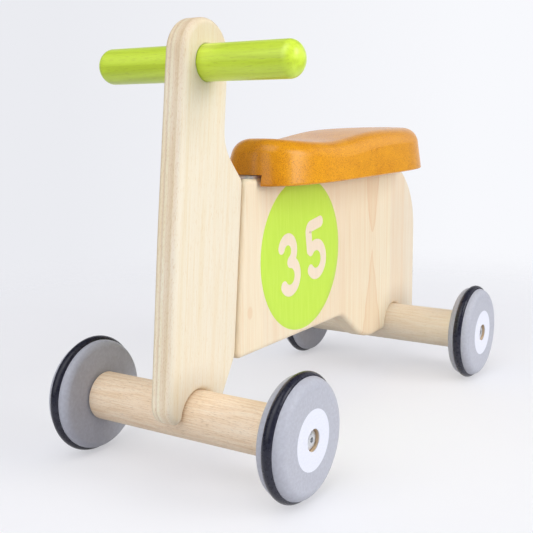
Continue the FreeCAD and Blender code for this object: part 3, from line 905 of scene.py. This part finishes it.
@dataclass(frozen=True)
class ZincPlatedSteel(MottledFinish):
    """Cold-headed steel with bright zinc plating: pale grey, with a satin grain drawn coarse to show."""

    name: str = "bright_zinc_plated_steel"
    tone_stops: Stops = ((0.35, "#DEE0E3"), (0.65, "#EEF0F2"))
    cell_mm: Triple = (0.5, 0.5, 0.5)
    detail: float = 2.0
    roughness: Pair = (0.42, 0.56)
    constants: Constants = (("Metallic", 1.0),)


@dataclass(frozen=True)
class NaturalNylon(MottledFinish):
    """Moulded natural nylon, milky with a faint cloud, for the wheel bushes."""

    name: str = "moulded_natural_nylon"
    tone_stops: Stops = ((0.4, "#DEDCD0"), (0.65, "#E9E7DC"))
    cell_mm: Triple = (2.0, 2.0, 2.0)
    detail: float = 2.0
    roughness: Pair = (0.4, 0.4)
    constants: Constants = (("IOR", 1.53),)


@dataclass(frozen=True)
class FloorPaper(Finish):
    """Matt pale studio paper, which dissolves into the backdrop away from the bike.

    The camera and gloss see it pale, and partly lit from below like a light table, so that shadows stay
    faint. The light that it throws back up is that of a greyer paper.
    """

    name: str = "pale_studio_paper"
    code: str = "#F5F5F8"
    bounce_code: str = "#CDCDD0"
    glow_code: str = "#F3F3F7"
    glow: float = 0.5
    fade_start: float = 0.4
    fade_end: float = 1.05

    def look(self, tree: Tree, place: Socket) -> Inputs:
        """Lets even paper's cover fall from full to none between the two fade distances.

        Args:
            tree: Node tree of the material.
            place: Object coordinates in metres.

        Returns:
            Value or socket for each input of the surface shader.
        """
        away = add_node(tree, "ShaderNodeVectorMath", {0: place}, operation="LENGTH")
        cover = add_node(
            tree, "ShaderNodeMapRange",
            {"Value": away.outputs["Value"], "From Min": self.fade_start, "From Max": self.fade_end,
             "To Min": 1.0, "To Max": 0.0}, interpolation_type="SMOOTHSTEP")
        path = add_node(tree, "ShaderNodeLightPath")
        seen = add_node(
            tree, "ShaderNodeMath", {0: path.outputs["Is Camera Ray"], 1: path.outputs["Is Glossy Ray"]},
            operation="MAXIMUM")
        glow = add_node(tree, "ShaderNodeMath", {0: seen.outputs[0], 1: self.glow}, operation="MULTIPLY")
        pale = add_node(
            tree, "ShaderNodeMix", {0: seen.outputs[0], 6: colour(self.bounce_code), 7: colour(self.code)},
            data_type="RGBA")
        paper = add_node(
            tree, "ShaderNodeMix", {0: glow.outputs[0], 6: pale.outputs[2], 7: colour("#000000")},
            data_type="RGBA")
        return {
            "Base Color": paper.outputs[2], "Roughness": 0.9, "Specular IOR Level": 0.1,
            "Emission Color": colour(self.glow_code), "Emission Strength": glow.outputs[0],
            "Alpha": cover.outputs[0]}


def dress(node: str, finish: Finish) -> None:
    """Gives a CAD node its finish.

    Args:
        node: Name of the CAD node.
        finish: The finish that all of it has.
    """
    mesh = frame["nodes"][node].data
    mesh.materials.clear()
    mesh.materials.append(finish.material())
    log.info("%s wears %s", node, finish.name)


def shell(name: str, grid: np.ndarray, finish: Finish) -> bpy.types.Object:
    """Makes a smooth mesh piece from a grid of points whose last column joins the first.

    Args:
        name: Name of the piece.
        grid: Points in metres, by row, column and axis.
        finish: The piece's finish.

    Returns:
        The piece, at the origin, with its doubled points merged and its faces outward.
    """
    rows, columns = grid.shape[:2]
    number = np.arange(rows * columns).reshape(rows, columns)
    number = np.concatenate([number, number[:, :1]], axis=1)
    corners = [number[:-1, :-1], number[:-1, 1:], number[1:, 1:], number[1:, :-1]]
    faces = np.stack(corners, axis=-1).reshape(-1, 4)
    mesh = bpy.data.meshes.new(name)
    mesh.from_pydata(grid.reshape(-1, 3), [], faces.tolist())
    work = bmesh.new()
    work.from_mesh(mesh)
    bmesh.ops.remove_doubles(work, verts=work.verts, dist=MERGE_MM * MM)
    bmesh.ops.recalc_face_normals(work, faces=work.faces)
    work.to_mesh(mesh)
    work.free()
    mesh.shade_smooth()
    mesh.materials.append(finish.material())
    piece = bpy.data.objects.new(name, mesh)
    bpy.context.scene.collection.objects.link(piece)
    log.info("made %s with %d faces", name, len(mesh.polygons))
    return piece


# Number field


@dataclass(frozen=True)
class Arc:
    """Part of a circle in a digit's plane, in millimetres and degrees."""

    centre: Pair
    radius: float
    start: float
    end: float

    def points(self) -> np.ndarray:
        """Points along the arc, a few degrees apart: the radius times cosine and sine, about the centre.

        Returns:
            Points in the digit's plane, by row.
        """
        count = int(abs(self.end - self.start) / ARC_STEP) + 2
        turn = np.radians(np.linspace(self.start, self.end, count))
        return np.array(self.centre) + self.radius * np.stack([np.cos(turn), np.sin(turn)], axis=-1)


@dataclass(frozen=True)
class Run:
    """Straight part of a digit, in millimetres."""

    start: Pair
    end: Pair

    def points(self) -> np.ndarray:
        """Points along the run, evenly spaced."""
        return np.linspace(self.start, self.end, RUN_POINTS)


Stroke = tuple[Arc | Run, ...]

THREE: tuple[Stroke, ...] = (
    (Arc((0.0, 12.0), 11.2, 150.0, -75.0),),
    (Arc((0.3, -12.0), 13.2, 78.0, -150.0),),
)
FIVE: tuple[Stroke, ...] = (
    (Run((12.0, 22.8), (-6.0, 22.8)), Arc((-6.0, 17.8), 5.0, 90.0, 175.0),
     Run((-10.98, 18.2), (-11.4, 1.4))),
    (Arc((-1.0, -11.2), 14.0, 128.0, -148.0),),
)


@dataclass
class NumberField:
    """Round printed field on each face of the body panel, with two plain digits left bare in it.

    Sizes are in millimetres, and the tilt is in degrees. The field is cut off straight under the seat's
    edge. Its section goes from the middle of the face out to the rim and back underneath: each pair is a
    share of the radius and a share of the ink's height over its sunk underside.
    """

    centre: Pair = (24.5, 157.8)
    radius: float = 71.2
    top_edge: float = SEAT_UNDERSIDE - 0.3
    panel_face: float = PANEL_FACE
    ink_height: float = 0.10
    sunk: float = 0.05
    section: tuple[Pair, ...] = (
        (0.0, 1.0), (0.3, 1.0), (0.6, 1.0), (0.9, 1.0), (0.999, 1.0), (1.0, 0.7), (1.0, 0.0), (0.0, 0.0))
    rim_points: int = 288
    digit_height: float = 0.08
    stroke_width: float = 11.0
    stroke_step: float = 0.012
    oval_points: int = 24
    cap_rows: int = 9
    digit_middles: tuple[Pair, ...] = ((-24.0, -6.0), (25.5, 2.5))
    digit_tilt: float = 9.0
    digits: tuple[tuple[Stroke, ...], ...] = (THREE, FIVE)
    ink: Finish = field(default_factory=PrintedField)
    wood: Finish = field(default_factory=BareDigitWood)

    def on_panel(self, across: np.ndarray, up: np.ndarray, lift: np.ndarray, side: Side) -> np.ndarray:
        """Lays points of the field's plane on one face of the panel.

        X falls with the distance across on the left face and grows with it on the right one, so the
        number reads the right way on both. Z grows with the distance up, and the lift goes outward in Y.

        Args:
            across: Distance to the reader's right of the field's centre, in millimetres.
            up: Distance above the field's centre.
            lift: Distance outward from the panel's face.
            side: Face that takes the points.

        Returns:
            Points in metres.
        """
        x = self.centre[0] - side.value * across
        y = side.value * (self.panel_face + lift)
        z = self.centre[1] + up
        return np.stack(np.broadcast_arrays(x, y, z), axis=-1) * MM

    def disc(self, side: Side) -> bpy.types.Object:
        """Makes the printed field as a thin closed disc with a straight top.

        Along each direction the rim lies at the radius, or where the straight top edge cuts that
        direction if it is nearer. The section is carried round that rim.

        Args:
            side: Face that takes it.

        Returns:
            The field.
        """
        turn = np.linspace(0, 2 * math.pi, self.rim_points, endpoint=False)[None, :]
        headroom = self.top_edge - self.centre[1]
        rim = np.minimum(self.radius, headroom / np.maximum(np.sin(turn), TINY))
        share, level = np.array(self.section).T[:, :, None]
        lift = level * (self.ink_height + self.sunk) - self.sunk
        grid = self.on_panel(share * rim * np.cos(turn), share * rim * np.sin(turn), lift, side)
        return shell(f"number_field_{side.name.lower()}", grid, self.ink)

    def stroke(self, parts: Stroke, middle: Pair, level: float, side: Side) -> np.ndarray:
        """Works out one brush stroke of a digit: an oval section carried along a path, with round ends.

        Past each end of the path the section goes on for half its width, and its width falls as the
        cosine while its place moves as the sine, which makes a half circle.

        Args:
            parts: Arcs and runs that make the path.
            middle: Where the digit's centre lies from the field's.
            level: Extra lift that keeps crossing strokes apart, in millimetres.
            side: Face that takes it.

        Returns:
            Grid of points in metres.
        """
        path = np.concatenate([part.points() for part in parts])
        path = path[np.r_[True, np.linalg.norm(np.diff(path, axis=0), axis=1) > DOUBLED]]
        way = np.gradient(path, axis=0)
        way /= np.linalg.norm(way, axis=1, keepdims=True)
        half = self.stroke_width / 2
        cap = np.linspace(0, math.pi / 2, self.cap_rows)[:, None]
        before = path[:1] - way[:1] * half * np.sin(cap[::-1])
        after = path[-1:] + way[-1:] * half * np.sin(cap)
        width = half * np.concatenate([np.cos(cap[::-1]), np.ones((len(path), 1)), np.cos(cap)])
        path = np.concatenate([before, path, after])
        way = np.pad(way, ((self.cap_rows, self.cap_rows), (0, 0)), mode="edge")
        turn = np.linspace(0, 2 * math.pi, self.oval_points, endpoint=False)[None, :]
        aside = width * np.cos(turn)
        upright_x = path[:, :1] - way[:, 1:] * aside
        upright_y = path[:, 1:] + way[:, :1] * aside
        tilt = math.radians(self.digit_tilt)
        across = middle[0] + upright_x * math.cos(tilt) - upright_y * math.sin(tilt)
        up = middle[1] + upright_x * math.sin(tilt) + upright_y * math.cos(tilt)
        lift = self.ink_height + level + self.digit_height * np.sin(turn) * (width > TINY)
        return self.on_panel(across, up, lift, side)

    def build(self) -> None:
        """Makes the field and the digits on both faces, and lets them ride on the body."""
        for side in Side:
            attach(self.disc(side), "body_frame")
            for place, (digit, middle) in enumerate(zip(self.digits, self.digit_middles)):
                for level, parts in enumerate(digit):
                    name = f"digit_{side.name.lower()}_{place + 1}_stroke_{level + 1}"
                    grid = self.stroke(parts, middle, level * self.stroke_step, side)
                    piece = shell(name, grid, self.wood)
                    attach(piece, "body_frame")


# Sub-assemblies


@dataclass
class BodyFrame:
    """Glued panel with its seat, dowels and hinge hardware."""

    panel: Finish = field(default_factory=GluedPanelWood)
    seat: Finish = field(default_factory=PressedSeatWood)
    dowel: Finish = field(default_factory=OiledDowel)
    steel: Finish = field(default_factory=ZincPlatedSteel)
    number: NumberField = field(default_factory=NumberField)

    def build(self) -> None:
        """Dresses the body's nodes and adds the number field."""
        dress("body_panel", self.panel)
        dress("seat", self.seat)
        dress("seat_dowels", self.dowel)
        for node in ("body_hinge_eye", "hinge_pin", "hinge_strap", "strap_screws"):
            dress(node, self.steel)
        self.number.build()


@dataclass
class SteeringFrame:
    """Plywood steering board with its handlebar and eyes."""

    board: Finish = field(default_factory=LacqueredPlywood)
    bar: Finish = field(default_factory=GreenStainedBar)
    steel: Finish = field(default_factory=ZincPlatedSteel)

    def build(self) -> None:
        """Dresses the steering board's nodes."""
        dress("steering_board", self.board)
        dress("handlebar", self.bar)
        dress("handlebar_screw", self.steel)
        dress("board_hinge_eyes", self.steel)


@dataclass
class AxleSet:
    """One beam with its two wheels and their bolts."""

    axle: Axle
    beam: Finish = field(default_factory=OiledDowel)
    steel: Finish = field(default_factory=ZincPlatedSteel)
    paint: Finish = field(default_factory=GreyPaintedWood)
    rubber: Finish = field(default_factory=TyreRubber)
    card: Finish = field(default_factory=WhiteCard)
    nylon: Finish = field(default_factory=NaturalNylon)

    def build(self) -> None:
        """Dresses the axle's nodes."""
        start = self.axle.value
        dress(f"{start}_axle_beam", self.beam)
        for part in ("beam_screw", "axle_inserts", "wheel_bolts", "wheel_washers"):
            dress(f"{start}_{part}", self.steel)
        for side in Side:
            corner = f"{start}_{side.name.lower()}"
            dress(f"{corner}_wheel", self.paint)
            dress(f"{corner}_tyre", self.rubber)
            dress(f"{corner}_hub_disc", self.card)
            dress(f"{corner}_wheel_bush", self.nylon)


# Studio


@dataclass
class Lamp:
    """Soft square lamp of white light, in metres and watts.

    A lamp that gloss doesn't see lights a piece without a mirror image of itself, as a lamp with a
    polarising sheet does.
    """

    name: str
    place: Triple
    size: float
    power: float
    in_gloss: bool = True

    def build(self, target: Vector) -> None:
        """Hangs the lamp so that it faces the target.

        Args:
            target: Point in metres that it faces.
        """
        light = bpy.data.lights.new(self.name, "AREA")
        light.shape = "SQUARE"
        light.size = self.size
        light.energy = self.power
        lamp = bpy.data.objects.new(self.name, light)
        lamp.location = self.place
        lamp.visible_glossy = self.in_gloss
        lamp.rotation_euler = (Vector(self.place) - target).to_track_quat("Z", "Y").to_euler()
        bpy.context.scene.collection.objects.link(lamp)


@dataclass
class Studio:
    """Pale seamless studio: a floor that fades into the backdrop, soft lamps and the camera.

    The camera's place and axes were fitted to the photograph; its lens gives the photograph's frame.
    """

    paper: Finish = field(default_factory=FloorPaper)
    floor_rings: tuple[float, ...] = (0.0, 0.5, 1.0, 2.0, 4.0, 6.0)
    floor_points: int = 96
    left_code: str = "#EBECF1"
    right_code: str = "#F8F9FD"
    tone_reach: float = 0.22
    sheet_span: Pair = (0.6, 0.93)
    dim_strength: float = 0.12
    sky_code: str = "#F4F6FF"
    sky_strength: float = 0.4
    lamps: tuple[Lamp, ...] = (
        Lamp("key_softbox", (-0.45, 1.85, 1.35), 0.9, 11.8),
        Lamp("low_softbox", (-0.1, 2.1, 0.55), 0.75, 20.8, in_gloss=False),
        Lamp("front_softbox", (2.1, -0.2, 1.5), 2.4, 25.0),
        Lamp("top_softbox", (0.9, 0.3, 2.2), 1.4, 10.5),
        Lamp("tail_softbox", (-1.7, 0.9, 1.0), 1.2, 2.4),
        Lamp("far_side_softbox", (-0.2, -2.3, 1.0), 1.8, 9.0, in_gloss=False),
    )
    sensor_mm: float = 36.0
    lens_mm: float = 59.31
    nearest: float = 0.01
    eye: Triple = (0.72237, 0.42151, 0.29079)
    right: Triple = (-0.540745, 0.841099, -0.012138)
    up: Triple = (-0.154397, -0.085057, 0.984341)

    def back(self) -> Vector:
        """Direction from the bike to the camera, square to the picture."""
        return Vector(self.right).cross(Vector(self.up)).normalized()

    def floor(self) -> None:
        """Makes the floor: flat rings, each point its ring's radius times a cosine and a sine."""
        turn = np.linspace(0, 2 * math.pi, self.floor_points, endpoint=False)[None, :]
        reach = np.array(self.floor_rings)[:, None]
        flat = np.zeros_like(reach * turn)
        grid = np.stack([reach * np.cos(turn), reach * np.sin(turn), flat], axis=-1)
        piece = shell("studio_floor", grid, self.paper)

    def backdrop(self) -> None:
        """Makes the world: soft sky light, and a pale backdrop for the camera and for gloss.

        The backdrop's tone goes with the direction along the photograph's right, from the left code to
        the right code over the tone reach either way. Gloss meets it as a sheet behind the bike, whose
        light grows over the sheet span, which holds cosines of the angle from straight ahead of the
        camera. Towards the sides the studio is dim.
        """
        world = bpy.data.worlds.new("studio_backdrop")
        bpy.context.scene.world = world
        world.use_nodes = True
        tree = world.node_tree
        tree.nodes.clear()
        way = add_node(tree, "ShaderNodeTexCoord").outputs["Generated"]
        along = add_node(tree, "ShaderNodeVectorMath", {0: way, 1: self.right}, operation="DOT_PRODUCT")
        share = add_node(
            tree, "ShaderNodeMapRange",
            {"Value": along.outputs["Value"], "From Min": -self.tone_reach, "From Max": self.tone_reach})
        tone = add_node(
            tree, "ShaderNodeValToRGB", {0: share.outputs[0]},
            stops=((0.0, self.left_code), (1.0, self.right_code)))
        ahead = add_node(
            tree, "ShaderNodeVectorMath", {0: way, 1: self.back() * -1}, operation="DOT_PRODUCT")
        start, full = self.sheet_span
        sheet = add_node(
            tree, "ShaderNodeMapRange",
            {"Value": ahead.outputs["Value"], "From Min": start, "From Max": full,
             "To Min": self.dim_strength})
        path = add_node(tree, "ShaderNodeLightPath")
        strength = add_node(
            tree, "ShaderNodeMath", {0: path.outputs["Is Camera Ray"], 1: sheet.outputs[0]},
            operation="MAXIMUM")
        seen = add_node(
            tree, "ShaderNodeBackground", {"Color": tone.outputs[0], "Strength": strength.outputs[0]})
        sky = add_node(
            tree, "ShaderNodeBackground", {"Color": colour(self.sky_code), "Strength": self.sky_strength})
        direct = add_node(
            tree, "ShaderNodeMath", {0: path.outputs["Is Camera Ray"], 1: path.outputs["Is Glossy Ray"]},
            operation="MAXIMUM")
        shown = add_node(
            tree, "ShaderNodeMath", {0: direct.outputs[0], 1: path.outputs["Is Transmission Ray"]},
            operation="MAXIMUM")
        both = add_node(
            tree, "ShaderNodeMixShader", {0: shown.outputs[0], 1: sky.outputs[0], 2: seen.outputs[0]})
        add_node(tree, "ShaderNodeOutputWorld", {"Surface": both.outputs[0]})

    def camera(self) -> None:
        """Places the camera by its fitted axes."""
        data = bpy.data.cameras.new("photo_camera")
        data.sensor_width = self.sensor_mm
        data.lens = self.lens_mm
        data.clip_start = self.nearest
        right = Vector(self.right).normalized()
        back = self.back()
        turn = Matrix((right, back.cross(right), back)).transposed()
        camera = bpy.data.objects.new("photo_camera", data)
        camera.matrix_world = Matrix.Translation(self.eye) @ turn.to_4x4()
        bpy.context.scene.collection.objects.link(camera)
        bpy.context.scene.camera = camera

    def build(self) -> None:
        """Builds floor, backdrop, lamps and camera."""
        bpy.context.scene.view_settings.view_transform = "Standard"
        self.floor()
        self.backdrop()
        target = (cad_box[0] + cad_box[1]) / 2
        for lamp in self.lamps:
            lamp.build(target)
        self.camera()
        log.info("built the studio with %d lamps", len(self.lamps))


def main() -> None:
    """Builds the bike's sub-assemblies and the studio."""
    BodyFrame().build()
    SteeringFrame().build()
    for axle in Axle:
        AxleSet(axle).build()
    Studio().build()


if __name__ == "__main__":
    logging.basicConfig(level=logging.INFO, format="%(name)s: %(message)s")
    main()
